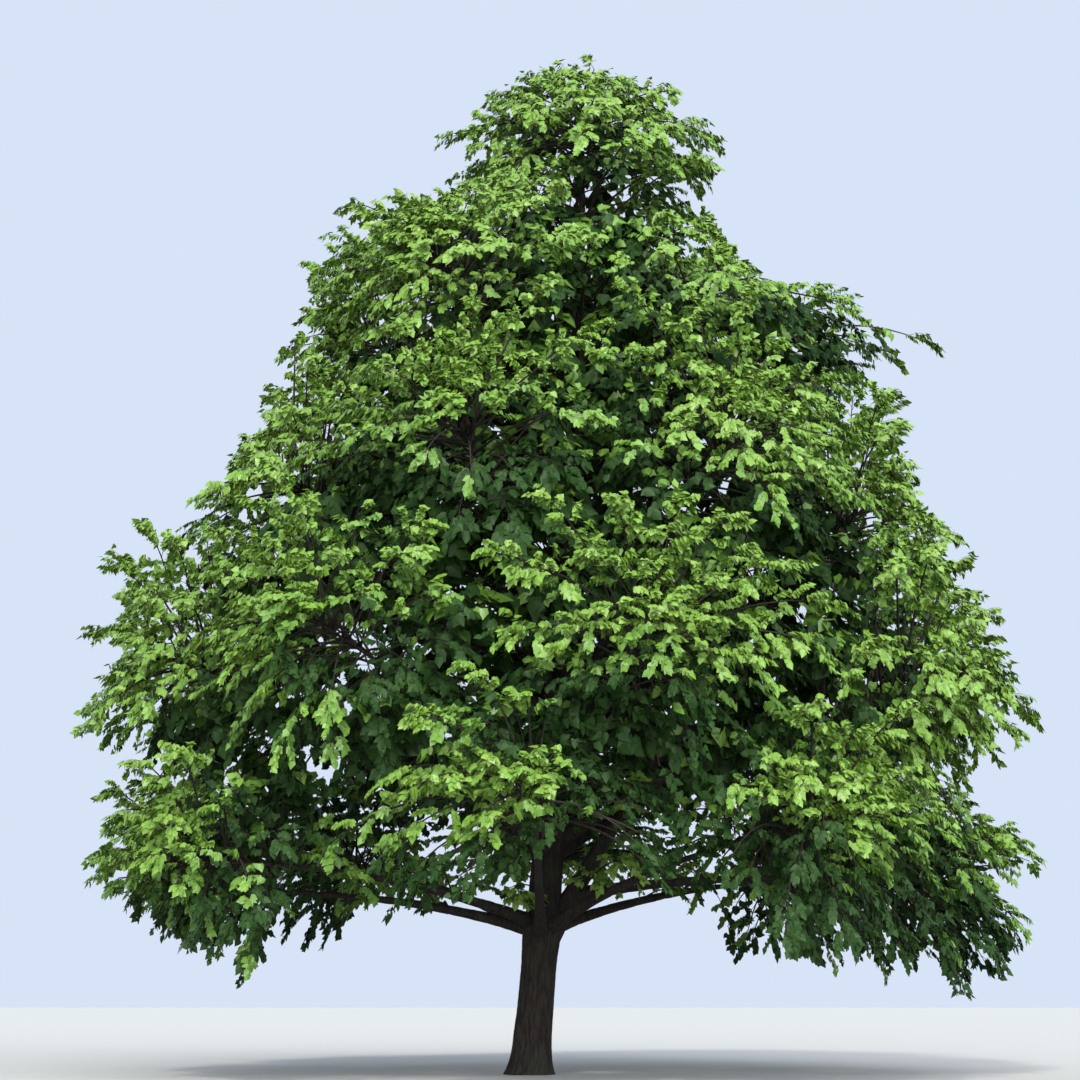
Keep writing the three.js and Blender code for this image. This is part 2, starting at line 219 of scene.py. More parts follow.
def bark_grain_group():
    """Bark's weathering as masks: long ridges from noise drawn out along the limb, grey-green algae in broad
    clouds, and the fine grain that roughens it."""
    group = bpy.data.node_groups.new("bark_grain", "ShaderNodeTree")
    for name in ("Coarseness", "Length"):
        group.interface.new_socket(name, in_out="INPUT", socket_type="NodeSocketFloat")
    given = group.nodes.new("NodeGroupInput")
    place = group.nodes.new("ShaderNodeTexCoord").outputs["Object"]
    drawn_out = add_node(group, "ShaderNodeCombineXYZ", {0: 1.0, 1: 1.0, 2: given.outputs["Length"]})
    along = add_node(group, "ShaderNodeVectorMath", {0: place, 1: drawn_out.outputs[0]}, operation="MULTIPLY")
    furrow = add_node(group, "ShaderNodeTexNoise", {
        "Vector": along.outputs[0], "Scale": given.outputs["Coarseness"], "Detail": 5.0, "Roughness": 0.6})
    cloud = add_node(group, "ShaderNodeTexNoise", {
        "Vector": place, "Scale": 2.6, "Detail": 4.0, "Roughness": 0.65})
    grain = add_node(group, "ShaderNodeTexNoise", {"Vector": place, "Scale": 180.0, "Detail": 3.0})
    ridge = map_range(group, furrow.outputs["Fac"], start=0.38, end=0.66)
    green = map_range(group, cloud.outputs["Fac"], start=0.5, end=0.74)
    rough = map_range(group, grain.outputs["Fac"], low=0.78, high=0.98)
    height = reckon(group, "MULTIPLY_ADD", grain.outputs["Fac"], GRAIN_HEIGHT, ridge)
    put_out(group, Ridge=ridge, Algae=green, Roughness=rough, Height=height)
    return group


bark_grain = bark_grain_group()


def blank_material(name):
    """A new material, its node tree and its surface shader."""
    material = bpy.data.materials.new(name)
    material.use_nodes = True
    return material, material.node_tree, material.node_tree.nodes["Principled BSDF"]


def bark_material(name, furrow, ridge, algae, coarseness, length, relief):
    """Bark whose colour runs from the furrows to the ridges and turns to algae in clouds."""
    material, tree, surface = blank_material(name)
    grain = add_node(tree, "ShaderNodeGroup", node_tree=bark_grain)
    grain.inputs["Coarseness"].default_value = coarseness
    grain.inputs["Length"].default_value = length
    wood = blend_colours(tree, grain.outputs["Ridge"], furrow, ridge)
    tree.links.new(blend_colours(tree, grain.outputs["Algae"], wood, algae), surface.inputs["Base Color"])
    tree.links.new(grain.outputs["Roughness"], surface.inputs["Roughness"])
    surface.inputs["Specular IOR Level"].default_value = BARK_SHINE
    bump = add_node(tree, "ShaderNodeBump", {
        "Strength": 0.6, "Distance": relief, "Height": grain.outputs["Height"]})
    tree.links.new(bump.outputs["Normal"], surface.inputs["Normal"])
    return material


# The old bark's near-black colours are partly its own dark tone and partly painted shade from the crown over
# the trunk and boughs.
old_bark = bark_material(
    "old_linden_bark", furrow=(0.008, 0.006, 0.005), ridge=(0.028, 0.023, 0.018), algae=(0.022, 0.024, 0.015),
    coarseness=34.0, length=0.16, relief=0.006)

trunk_heights = TRUNK_TOP * np.linspace(0, 1, TRUNK_RINGS) ** RING_CROWDING
trunk_angles = 2 * np.pi * np.arange(TRUNK_SIDES) / TRUNK_SIDES
trunk_radii = trunk_radius(trunk_heights[:, None], trunk_angles)
age = trunk_radii / TRUNK_RADIUS
trunk_radii = trunk_radii + age * bark_relief(
    trunk_angles / (2 * np.pi), trunk_heights[:, None] / TRUNK_TOP,
    TRUNK_RIDGES, TRUNK_NETS, FURROW_DEPTH, TRUNK_BARK_SEED)


def level_tube(path, radii, across):
    """A limb whose rings lie level, as the cut at its foot does: the path's tangent is taken as straight up."""
    sides = radii.shape[1]
    vertices, faces = tubes(path[None] * UP, radii[None], across[None], sides)
    sideways = np.concatenate([np.repeat(path, sides, 0), path[:1], path[-1:]]) * (1 - UP)
    return vertices + sideways, faces


trunk = piece_of("trunk_bark", *level_tube(axis_at(trunk_heights), trunk_radii, ACROSS_LEAN), old_bark)
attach(trunk, "root")
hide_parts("trunk")

# The boughs: tapering limbs that leave the trunk in four tiers and arch out and up. The thick, steep one on the
# right springs low from the fork, and the lowest right bough grows on it. Younger bark, shallower furrows.
TIERS = [
    {"name": "lowest", "count": 8, "springs": 1.48, "stagger": 0.07, "tip": 1.9, "rise": 0.48, "turn": -6,
     "radius": 0.066},
    {"name": "low", "count": 8, "springs": 2.35, "stagger": 0.11, "tip": 4.35, "rise": 0.62, "turn": 16,
     "radius": 0.062},
    {"name": "middle", "count": 7, "springs": 3.7, "stagger": 0.12, "tip": 6.9, "rise": 0.56, "turn": -12,
     "radius": 0.054},
    {"name": "upper", "count": 5, "springs": 5.9, "stagger": 0.15, "tip": 9.2, "rise": 0.52, "turn": 20,
     "radius": 0.044},
]
RIGHT_LIMB = {"springs": 1.33, "radius": 0.1, "rise": 1.0}
RIGHT_BOUGH_ALONG = 0.09
STAGGER_STEPS = 3
FRONT_LIFT = 0.7
TURN_SPREAD = 12
TIP_SPREAD = 0.42
TIP_REACH = 0.9
SPINE_BEND = 0.46
BOUGH_ENDS = 0.56
BOUGH_TIP_SHARE = 0.4
BOUGH_SIDES = 24
BOUGH_RINGS = 60
BOUGH_COLLAR = 0.45
BOUGH_COLLAR_SPAN = 0.09
BOUGH_RIDGES = 9
BOUGH_NETS = 12
BOUGH_FURROW_SHARE = 0.1
BOUGH_BARK_SEED = 31
SEED_STEP = 17000
JITTER_PITCH = 12.9898
JITTER_GAIN = 43758.5453
NUDGE = np.array([1e-6, 0, 0])

CROWN_REACH = 5.55
WIDEST_HEIGHT = 3.6
DOME_TIP = 12.45
WAIST_DEPTH = 0.55
WAIST_HEIGHT = 7.0
WAIST_SPAN = 0.9
# Each lobe's turn in degrees, then its height, reach and span in metres.
LOBES = [
    (0, 1.9, 0.42, 0.8),
    (180, 1.2, -1.2, 0.5),
    (180, 3.6, 0.3, 0.7),
    (0, 8.5, 0.35, 0.5),
    (180, 9.7, 0.55, 0.5),
    (0, 10.4, -0.65, 0.5),
    (180, 11.5, 0.35, 0.4),
]


def jitter(seed):
    """Numbers from 0 to 1 that look random and are the same on every run: the tail of a large sine. Like pieces
    have seeds an odd step apart, and a fraction added to a piece's seed gives it another number."""
    wave = np.sin(np.asarray(seed) * JITTER_PITCH) * JITTER_GAIN
    return wave - np.floor(wave)


def swelling(lobes, z, angle):
    """How far lobes swell one side of the crown or draw it in: each one's reach, times the square of the cosine
    of the turn away from it, times a bell over its height."""
    swollen = 0
    for turn, height, reach, span in lobes:
        towards = np.maximum(0, np.cos(angle - np.radians(turn))) ** 2
        swollen = swollen + reach * towards * bell(z, height, span)
    return swollen


def reach_at(z, angle):
    """How far the crown goes from the trunk's centreline: a dome that narrows by the square of the height above
    its widest place, less a waist, plus the swelling of its lobes."""
    above = np.maximum(0, (z - WIDEST_HEIGHT) / (DOME_TIP - WIDEST_HEIGHT))
    waist = WAIST_DEPTH * bell(z, WAIST_HEIGHT, WAIST_SPAN)
    return CROWN_REACH * (1 - above ** 2) - waist + swelling(LOBES, z, angle)


def arc_at(root, bend, tip, share):
    """A smooth arc that leaves the root towards the bend and comes to the tip from it: the three points weighed
    by the squares of the two shares of the way and by twice their product."""
    left = 1 - share
    return left * left * root + 2 * left * share * bend + share * share * tip


def arcs_along(root, bend, tip, share):
    """A row of places for each of many arcs, at shares that they have in common or each its own."""
    return arc_at(root[:, None], bend[:, None], tip[:, None], share[..., None])


def level_way(angle):
    """The level direction at a turn from +X: its cosine and its sine."""
    return np.stack([np.cos(angle), np.sin(angle), 0 * angle], -1)


def spines_of(tier):
    """Root, tip, rise, radius and seed of a tier's boughs, dealt evenly round the trunk and then jittered."""
    index = np.arange(tier["count"])
    seeds = np.rint(SEED_STEP * tier["springs"]) + index
    angle = np.radians(tier["turn"] + 360 * index / tier["count"] + TURN_SPREAD * (jitter(seeds) - 0.5))
    outwards = level_way(angle)
    lift = FRONT_LIFT * np.abs(outwards[:, 1]) * (tier["name"] == "lowest")
    height = tier["tip"] + lift + TIP_SPREAD * (jitter(seeds + 0.3) - 0.5)
    tips = axis_at(height) + outwards * (TIP_REACH * reach_at(height, angle))[:, None]
    roots = axis_at(tier["springs"] + tier["stagger"] * (index % STAGGER_STEPS))
    return roots, tips, np.full(len(index), tier["rise"]), np.full(len(index), tier["radius"]), seeds


spine_root, spine_tip, spine_rise, spine_radius, spine_seed = (
    np.concatenate(values) for values in zip(*(spines_of(tier) for tier in TIERS)))
spine_names = [f"{tier['name']}_{i + 1}" for tier in TIERS for i in range(tier["count"])]
right_limb = spine_names.index("middle_1")
right_bough = spine_names.index("lowest_1")
spine_root[right_limb] = axis_at(RIGHT_LIMB["springs"])
spine_rise[right_limb] = RIGHT_LIMB["rise"]
spine_radius[right_limb] = RIGHT_LIMB["radius"]


def bend_of(root, tip, rise):
    """Where a spine bends: a share of the way from root to tip, and raised."""
    return root + SPINE_BEND * (tip - root) + UP * rise


spine_root[right_bough] = arc_at(
    spine_root[right_limb], bend_of(spine_root[right_limb], spine_tip[right_limb], RIGHT_LIMB["rise"]),
    spine_tip[right_limb], RIGHT_BOUGH_ALONG)
spine_bend = bend_of(spine_root, spine_tip, spine_rise[:, None])


def across_of(roots, tips):
    """The level direction square to the upright plane that an arc lies in. The nudge settles it for an arc that
    goes straight up."""
    return normalized(np.cross(UP, tips - roots + NUDGE))


spine_across = across_of(spine_root, spine_tip)
bough_along = np.linspace(0, 1, BOUGH_RINGS)[:, None]
bough_share = BOUGH_ENDS * bough_along
bough_paths = arcs_along(spine_root, spine_bend, spine_tip, bough_share[:, 0])
bough_collar = BOUGH_COLLAR * bell(bough_share, 0, BOUGH_COLLAR_SPAN)
bough_taper = 1 - (1 - BOUGH_TIP_SHARE) * bough_share / BOUGH_ENDS + bough_collar
bough_relief = bark_relief(
    np.arange(BOUGH_SIDES) / BOUGH_SIDES, bough_along,
    BOUGH_RIDGES, BOUGH_NETS, BOUGH_FURROW_SHARE, BOUGH_BARK_SEED)
bough_radii = spine_radius[:, None, None] * (bough_taper + bough_relief)
boughs = piece_of("bough_bark", *tubes(bough_paths, bough_radii, spine_across, BOUGH_SIDES), old_bark)
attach(boughs, "root")
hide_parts(*(f"bough_{name}" for name in spine_names))

# The branches: every bough runs on as a stem, and branches fan out round it to the edge of its own share of the
# crown, arch over and hang. Shoots on the boughs, leaders at the stems' ends, spurs on the trunk and two young
# shoots at the fork fill what these leave open. All have thin grey-brown bark.
TREE_HEIGHT = 12.0
UNDERSIDE_MIDDLE = 1.9
UNDERSIDE_DROP = 0.95
DROP_STARTS = 1.8
DROP_ENDS = 2.7
BACK_RISE = 0.09
HANGS = [
    {"at": -1.25, "drop": 0.34, "span": 0.75},
    {"at": 1.8, "drop": 0.26, "span": 0.5},
]
# Finer lobes in and out of the leafy edge, in rows of the same kind.
EDGE_TRIMS = [
    (180, 1.08, -1.3, 0.2),
    (180, 1.7, -0.52, 0.28),
    (180, 2.7, -0.35, 0.6),
    (180, 4.3, -0.28, 0.4),
    (180, 5.7, 0.4, 0.35),
    (180, 6.45, -0.3, 0.3),
    (180, 7.6, -0.35, 0.35),
    (180, 8.6, -0.35, 0.35),
    (227, 9.9, -0.75, 0.3),
    (180, 10.3, -1.1, 0.25),
    (180, 10.8, 0.3, 0.4),
    (180, 11.5, -0.2, 0.4),
    (0, 1.4, -0.2, 0.25),
    (0, 1.98, -0.75, 0.2),
    (0, 3.15, -0.6, 0.3),
    (0, 5.0, -0.4, 0.6),
    (0, 6.25, -0.5, 0.4),
    (0, 8.35, 0.58, 0.4),
    (318, 8.85, -0.85, 0.38),
    (0, 9.25, -0.72, 0.42),
    (0, 10.7, 0.4, 0.4),
    (0, 11.5, -0.1, 0.4),
]
SITE_ALONG = 0.84
STEM_SHORTEST = 0.05
STEM_ENDS = 0.95
STEM_INSET = 0.7
STEM_STEPS = 40
STEM_SUNK = 0.02
STEM_RINGS = 24
STEM_SIDES = 10
AHEAD_FROM = 0.49
AHEAD_TO = 0.51
TOP_SITE = 11.0
TOP_STEM_ENDS = 11.5
TOP_SEED = 991
SPACE_GAP = 0.006
BRANCHES = 66
FAN_DEGREES = 128
GOLDEN_TURN = np.pi * (3 - np.sqrt(5))
ROOM_STEP = 0.04
ROOM_STEPS = 65
SHORTEST_ROOM = 0.3
STEM_TIP_RADIUS = 0.012
BRANCH_SHORTEST = 0.82
BRANCH_SPREAD = 0.18
BRANCH_BEND = 0.6
LAST_ROOT = 0.92
ROOT_RANGE = 0.7
ROOT_SPREAD = 0.1
BRANCH_RADIUS = 0.012
BRANCH_TIP_RADIUS = 0.004
BRANCH_THINNEST = 0.7
THICKER_PER_METRE = 0.4
PAST_LAST_TWIG = 0.02
SKIRT_TOP = 2.6
RISING_FROM = 5.0
SKIRT_ARCH = 0.26
RISING_ARCH = 0.2
SKIRT_HANG = 0.15
RISING_HANG = 0.0
BRANCH_RINGS = 8
BRANCH_SIDES = 4
UNDERSIDE_DRAWN_IN = 0.32
DRAWN_IN_SLOPE = -0.7
TUFT_INSET = 0.32
TIP_INSET = 0.4
TIP_CLEARANCE = 0.12
INNER_STARTS = 1.15
INNER_KEPT = 0.7
JUTTING = 0.1
JUT = 0.26


def between(first, second, share):
    """The value that lies a share of the way from the first to the second."""
    return first + (second - first) * share


def underside_at(places):
    """The height of the crown's lower edge: level round the trunk, lower where the outer boughs hang to either
    side and, by bells, below the left and right boughs, and rising towards the back."""
    drop = UNDERSIDE_DROP * smooth(DROP_STARTS, DROP_ENDS, np.abs(places[..., 0]))
    for hang in HANGS:
        drop = np.maximum(drop, hang["drop"] * bell(places[..., 0], hang["at"], hang["span"]))
    return UNDERSIDE_MIDDLE - drop + BACK_RISE * np.maximum(0, places[..., 1])


def depth_in_crown(places):
    """How far places lie inside the crown's side, along the level line from the trunk. Negative outside it."""
    z = places[..., 2]
    out = places - axis_at(z)
    angle = np.arctan2(out[..., 1], out[..., 0])
    return reach_at(z, angle) + swelling(EDGE_TRIMS, z, angle) - np.hypot(out[..., 0], out[..., 1])


def in_crown(places):
    """True where places lie below the tree's top, above the underside and inside the crown's side."""
    level = (places[..., 2] < TREE_HEIGHT) & (places[..., 2] > underside_at(places))
    return level & (depth_in_crown(places) > 0)


top_foot = axis_at(TRUNK_TOP)
top_tip = top_foot * (1 - UP) + UP * TOP_STEM_ENDS
stem_root = np.concatenate([spine_root, top_foot[None]])
stem_bend = np.concatenate([spine_bend, (top_foot + top_tip)[None] / 2])
stem_tip = np.concatenate([spine_tip, top_tip[None]])
stem_across = np.concatenate([spine_across, ACROSS_LEAN[None]])
stem_from = np.append(np.full(len(spine_names), BOUGH_ENDS), 0.0)
spine_share = np.linspace(BOUGH_ENDS + STEM_SHORTEST, STEM_ENDS, STEM_STEPS)
spine_depth = depth_in_crown(arcs_along(spine_root, spine_bend, spine_tip, spine_share))
stem_to = np.append(np.max(np.where(spine_depth > STEM_INSET, spine_share, spine_share[0]), 1), 1.0)
stem_radius = np.append(spine_radius * BOUGH_TIP_SHARE, trunk_radius(TRUNK_TOP, 0))
mass_seed = np.append(spine_seed, TOP_SEED)
mass_names = [*spine_names, "top"]
site = np.concatenate([arc_at(spine_root, spine_bend, spine_tip, SITE_ALONG), axis_at(TOP_SITE)[None]])


def stem_at(mass, share):
    """Places along the stems of the masses, by the share of each stem's own stretch of its spine."""
    whole = between(stem_from[mass], stem_to[mass], share)[..., None]
    return arc_at(stem_root[mass], stem_bend[mass], stem_tip[mass], whole)


def in_own_space(places):
    """True where places, listed mass by mass, lie well inside the crown and nearer to their own site than to
    any other: on the way to each other site they stay short of the halfway wall."""
    apart = site[None] - site[:, None]
    distance = np.linalg.norm(apart, axis=-1)
    np.fill_diagonal(distance, np.inf)
    towards = apart / np.where(np.isinf(distance), 1, distance)[..., None]
    spread = (1,) * (places.ndim - 2)
    along = np.einsum("m...i,moi->m...o", places - site.reshape(-1, *spread, 3), towards)
    wall = (distance / 2 - SPACE_GAP).reshape(len(site), *spread, len(site))
    return in_crown(places) & (depth_in_crown(places) > TUFT_INSET) & np.all(along < wall, -1)


# The fan: directions even over a cap round the way ahead, by golden turns, each followed until its mass ends.
every_mass = np.arange(len(site))
ahead = normalized(stem_at(every_mass, AHEAD_TO) - stem_at(every_mass, AHEAD_FROM))
upper = np.cross(ahead, stem_across)
fan = np.arange(BRANCHES)
fan_lean = np.arccos(1 - (1 - np.cos(np.radians(FAN_DEGREES))) * (fan + 0.5) / BRANCHES)[:, None]
fan_turn = (fan * GOLDEN_TURN + mass_seed[:, None])[..., None]
direction = ahead[:, None] * np.cos(fan_lean) + np.sin(fan_lean) * (
    stem_across[:, None] * np.cos(fan_turn) + upper[:, None] * np.sin(fan_turn))
steps = ROOM_STEP * np.arange(1, ROOM_STEPS + 1)
marched = in_own_space(site[:, None, None] + direction[:, :, None] * steps[:, None])
room = ROOM_STEP * np.cumprod(marched, -1).sum(-1)

# Branches along the fan: they root further back the wider they open, and a few jut out of the leafy edge.
far_end = site[:, None] + direction * room[..., None]
is_outer = depth_in_crown(far_end) < INNER_STARTS
fan_seed = mass_seed[:, None] + 7.3 * fan
branch_mass, branch_turn = np.nonzero(
    (room > SHORTEST_ROOM) & (is_outer | (jitter(fan_seed + 0.71) < INNER_KEPT)))
branch_seed = fan_seed[branch_mass, branch_turn]
branch_way = direction[branch_mass, branch_turn]
ends_outside = is_outer[branch_mass, branch_turn]
may_draw_in = ends_outside & (branch_mass < len(spine_names))
drawn_in = 1 - np.where(may_draw_in, UNDERSIDE_DRAWN_IN, 0) * smooth(0, DRAWN_IN_SLOPE, branch_way[:, 2])
branch_length = BRANCH_SHORTEST + BRANCH_SPREAD * jitter(branch_seed)
branch_reach = room[branch_mass, branch_turn] * branch_length * drawn_in
juts = ends_outside & (jitter(branch_seed + 0.33) < JUTTING)
branch_reach = branch_reach + np.where(juts, JUT, 0)
root_along = LAST_ROOT - ROOT_RANGE * branch_turn / BRANCHES
branch_root = stem_at(branch_mass, root_along + ROOT_SPREAD * (jitter(branch_seed + 0.6) - 0.5))
branch_tip = site[branch_mass] + branch_way * branch_reach[:, None]

# Shoots: short growth along each bough, out to either side by turns.
SHOOTS = 12
FIRST_SHOOT = 0.15
SHOOT_RANGE = 0.42
SHOOT_FORWARD = 0.5
SHOOT_ASIDE = 0.4
SHOOT_ASIDE_SPREAD = 0.9
SHOOT_RISE_SPREAD = 0.9
SHOOT_HANG = 0.5
SHOOT_LENGTH = 0.55
SHOOT_SHORTEST = 0.6
SHOOT_SPREAD = 0.8


def by_turns(index):
    """Sides that change by turns: 1 for even places in a row and -1 for odd ones."""
    return np.where(index % 2 == 0, 1.0, -1.0)


shoot_mass, shoot_turn = (grid.ravel() for grid in np.mgrid[:len(spine_names), :SHOOTS])
shoot_seed = spine_seed[shoot_mass] + 3.9 * shoot_turn + 0.5
shoot_share = (FIRST_SHOOT + SHOOT_RANGE * (shoot_turn + jitter(shoot_seed)) / SHOOTS)[:, None]
shoot_root = arc_at(spine_root[shoot_mass], spine_bend[shoot_mass], spine_tip[shoot_mass], shoot_share)
shoot_side = by_turns(shoot_turn) * (SHOOT_ASIDE + SHOOT_ASIDE_SPREAD * jitter(shoot_seed + 0.2))
shoot_way = normalized(
    normalized(spine_tip - spine_root)[shoot_mass] * SHOOT_FORWARD
    + spine_across[shoot_mass] * shoot_side[:, None]
    + UP * (SHOOT_RISE_SPREAD * (jitter(shoot_seed + 0.7) - SHOOT_HANG))[:, None])
shoot_reach = SHOOT_LENGTH * (SHOOT_SHORTEST + SHOOT_SPREAD * jitter(shoot_seed + 0.9))
shoot_tip = shoot_root + shoot_way * shoot_reach[:, None]

# Leaders: short growth that opens from the end of each stem by golden turns and closes the mass there.
LEADERS = 6
LEADER_ALONG = 0.97
LEADER_OPENS = 0.95
LEADER_LENGTH = 0.42
LEADER_SHORTEST = 0.7
LEADER_SPREAD = 0.6
LEADER_TWIGS_START = 0.1
leader_mass, leader_turn = (grid.ravel() for grid in np.mgrid[:len(site), :LEADERS])
leader_seed = mass_seed[leader_mass] + 2.9 * leader_turn + 0.8
leader_root = stem_at(leader_mass, LEADER_ALONG)
leader_angle = (leader_turn * GOLDEN_TURN + leader_mass)[:, None]
leader_off = LEADER_OPENS * np.sqrt((leader_turn[:, None] + 0.5) / LEADERS)
leader_way = normalized(ahead[leader_mass] + leader_off * (
    stem_across[leader_mass] * np.cos(leader_angle) + upper[leader_mass] * np.sin(leader_angle)))
leader_reach = LEADER_LENGTH * (LEADER_SHORTEST + LEADER_SPREAD * jitter(leader_seed))
leader_tip = leader_root + leader_way * leader_reach[:, None]

# Fork shoots: two young shoots that stand out in front of the fork.
FORK_SHOOT_ROOTS = np.array([[0.1, -0.1, 1.62], [0.55, -0.05, 1.95]])
FORK_SHOOT_TIPS = np.array([[-0.16, -0.62, 1.98], [1.14, -1.3, 2.42]])
fork_mass = np.array([spine_names.index("lowest_6"), spine_names.index("lowest_8")])
fork_turn = np.arange(len(fork_mass))
fork_seed = spine_seed[fork_mass] + 0.9
fork_reach = np.linalg.norm(FORK_SHOOT_TIPS - FORK_SHOOT_ROOTS, axis=-1)

# Spurs: growth on the trunk inside the crown, each a golden turn further round it and a little higher.
SPURS = 170
SPUR_LOWEST = 2.8
SPUR_HIGHEST = 11.0
SPUR_CROWDING = 0.7
SPUR_REACH = 0.84
SPUR_SHORTEST = 0.25
SPUR_SPREAD = 0.75
SPUR_RISE = 0.3
SPUR_SEED = 4100
OFF_AXIS = 0.01
spur_turn = np.arange(SPURS)
spur_seed = SPUR_SEED + 5.3 * spur_turn
spur_rise = ((spur_turn + jitter(spur_seed)) / SPURS) ** SPUR_CROWDING
spur_root = axis_at(between(SPUR_LOWEST, SPUR_HIGHEST, spur_rise))
spur_out = level_way(spur_turn * GOLDEN_TURN)
spur_length = SPUR_SHORTEST + SPUR_SPREAD * jitter(spur_seed + 0.4)
spur_reach = SPUR_REACH * depth_in_crown(spur_root + OFF_AXIS * spur_out) * spur_length
spur_tip = spur_root + normalized(spur_out + SPUR_RISE * UP) * spur_reach[:, None]
spur_mass = np.argmin(np.linalg.norm(spur_tip[:, None] - site, axis=-1), 1)

# All kinds together. Their tips hang by a share of their span, stay above the underside and inside the edge.
fans = len(branch_mass)
branch_mass, branch_turn, branch_seed, branch_reach, branch_root, branch_tip = map(np.concatenate, zip(
    (branch_mass, branch_turn, branch_seed, branch_reach, branch_root, branch_tip),
    (shoot_mass, shoot_turn, shoot_seed, shoot_reach, shoot_root, shoot_tip),
    (spur_mass, spur_turn, spur_seed, spur_reach, spur_root, spur_tip),
    (leader_mass, leader_turn, leader_seed, leader_reach, leader_root, leader_tip),
    (fork_mass, fork_turn, fork_seed, fork_reach, FORK_SHOOT_ROOTS, FORK_SHOOT_TIPS)))
at_fork = np.arange(len(branch_mass)) >= len(branch_mass) - len(fork_mass)
is_short = np.arange(len(branch_mass)) >= len(branch_mass) - len(fork_mass) - len(leader_mass)
juts = np.append(juts, np.zeros(len(branch_mass) - fans, bool)) | at_fork
branch_span = np.linalg.norm(branch_tip - branch_root, axis=-1)
rising = smooth(SKIRT_TOP, RISING_FROM, branch_root[:, 2])
branch_tip = branch_tip - UP * (between(SKIRT_HANG, RISING_HANG, rising) * branch_span)[:, None]
branch_tip[:, 2] = np.maximum(branch_tip[:, 2], underside_at(branch_tip) + TIP_CLEARANCE)
level_out = normalized((branch_tip - axis_at(branch_tip[:, 2])) * (1 - UP))
too_far = np.maximum(0, TIP_INSET - np.where(juts, JUT, 0) - depth_in_crown(branch_tip))
branch_tip = branch_tip - level_out * too_far[:, None]
branch_arch = between(SKIRT_ARCH, RISING_ARCH, rising) * branch_span
branch_bend = between(branch_root, branch_tip, BRANCH_BEND) + UP * branch_arch[:, None]
branch_across = across_of(branch_root, branch_tip)

stem_share = np.linspace(-STEM_SUNK, 1, STEM_RINGS)
stem_paths = stem_at(every_mass[:, None], stem_share)
stem_radii = between(stem_radius[:, None], STEM_TIP_RADIUS, np.clip(stem_share, 0, 1))


def joined(*parts):
    """The vertices and triangles of several lists of limbs as one list."""
    counts = np.cumsum([0] + [len(vertices) for vertices, _ in parts])
    return (np.concatenate([vertices for vertices, _ in parts]),
            np.concatenate([faces + count for (_, faces), count in zip(parts, counts)]))


young_bark = bark_material(
    "young_linden_bark", furrow=(0.016, 0.012, 0.009), ridge=(0.030, 0.024, 0.018), algae=(0.022, 0.026, 0.014),
    coarseness=60.0, length=0.5, relief=0.002)

# The twigs: this and last year's shoots, thin and brown, that leave a branch to either side by turns, some of
# them upright, so each branch ends in a rounded tuft. A branch goes only as far as its last twig, so the piece
# that the branches make is drawn here, before the twigs.
TWIGS_PER_METRE = 8.5
FEWEST_TWIGS = 5
MOST_TWIGS = 18
TWIG_STARTS = 0.42
SKIRT_TWIGS_START = 0.2
SKIRT_MORE_TWIGS = 0.35
TWIG_PLACE = 0.2
TWIG_PLACE_SPREAD = 0.6
TWIG_LENGTH = 0.38
TWIG_SHORTEST = 0.6
TWIG_SPREAD = 0.6
END_TWIG_SHORTER = 0.35
FULL_TWIG_REACH = 0.9
SHORT_BRANCH_TWIG = 0.55
TWIG_BEND = 0.55
TWIG_ARCH = 0.06
TWIG_RADIUS = 0.0035
TWIG_TIP_RADIUS = 0.0012
TWIG_RINGS = 3
TWIG_SIDES = 3
TWIG_OPEN = np.radians(68)
TWIG_CLOSE = np.radians(12)
TWIG_CLOSING = 1.5
TWIG_OPEN_SPREAD = 0.5
ROLL_LOWEST = np.radians(-55)
ROLL_HIGHEST = np.radians(80)
SKIRT_DROOP = 0.24
RISING_DROOP = 0.14
SKIRT_KEPT = 0.78
RAGGED = 0.4
LEAF_CLEARANCE = 0.05
JUT_BELOW = 0.1
TOP_INSET = 0.2
LEAF_INSET = 0.18
LEAF_INSET_SPREAD = 0.16
UNDERSIDE_INSET = 0.3
FEWEST_KEPT = 3
FEWEST_JUTTING = 7
DEEP_STARTS = 2.4
DEEP_KEPT = 0.8
# The dark pockets in the front: each one's middle and its half sizes.
HOLLOWS = [
    ((1.05, -5.0, 2.95), (0.52, 1.2, 0.8)),
    ((0.2, -5.1, 3.35), (0.75, 1.1, 0.24)),
    ((0.62, -2.5, 2.1), (0.56, 3.2, 0.5)),
    ((-0.55, -1.9, 1.88), (0.4, 2.6, 0.26)),
    ((-1.85, -5.0, 4.1), (0.72, 1.0, 0.42)),
    ((-0.89, -5.1, 4.15), (0.36, 1.1, 0.28)),
    ((-0.31, -4.5, 6.28), (0.76, 1.0, 0.4)),
    ((1.95, -5.0, 2.13), (0.75, 1.2, 0.3)),
    ((-2.75, -4.4, 2.65), (0.65, 1.0, 0.22)),
    ((-1.66, -4.2, 5.91), (0.46, 1.2, 0.42)),
    ((0.88, -4.0, 6.91), (0.34, 1.0, 0.3)),
    ((1.8, -5.1, 3.2), (0.42, 1.0, 0.18)),
    ((-1.27, -3.7, 6.92), (0.26, 0.9, 0.2)),
]


def in_hollow(places, size=1.0):
    """True where places lie in one of the dark pockets of the crown's front, each an ellipsoid: the squares of
    the distances from its middle, counted in its half sizes, come to less than the square of the size."""
    inside = np.zeros(places.shape[:-1], bool)
    for middle, half in HOLLOWS:
        inside |= np.sum(((places - middle) / half) ** 2, -1) < size ** 2
    return inside


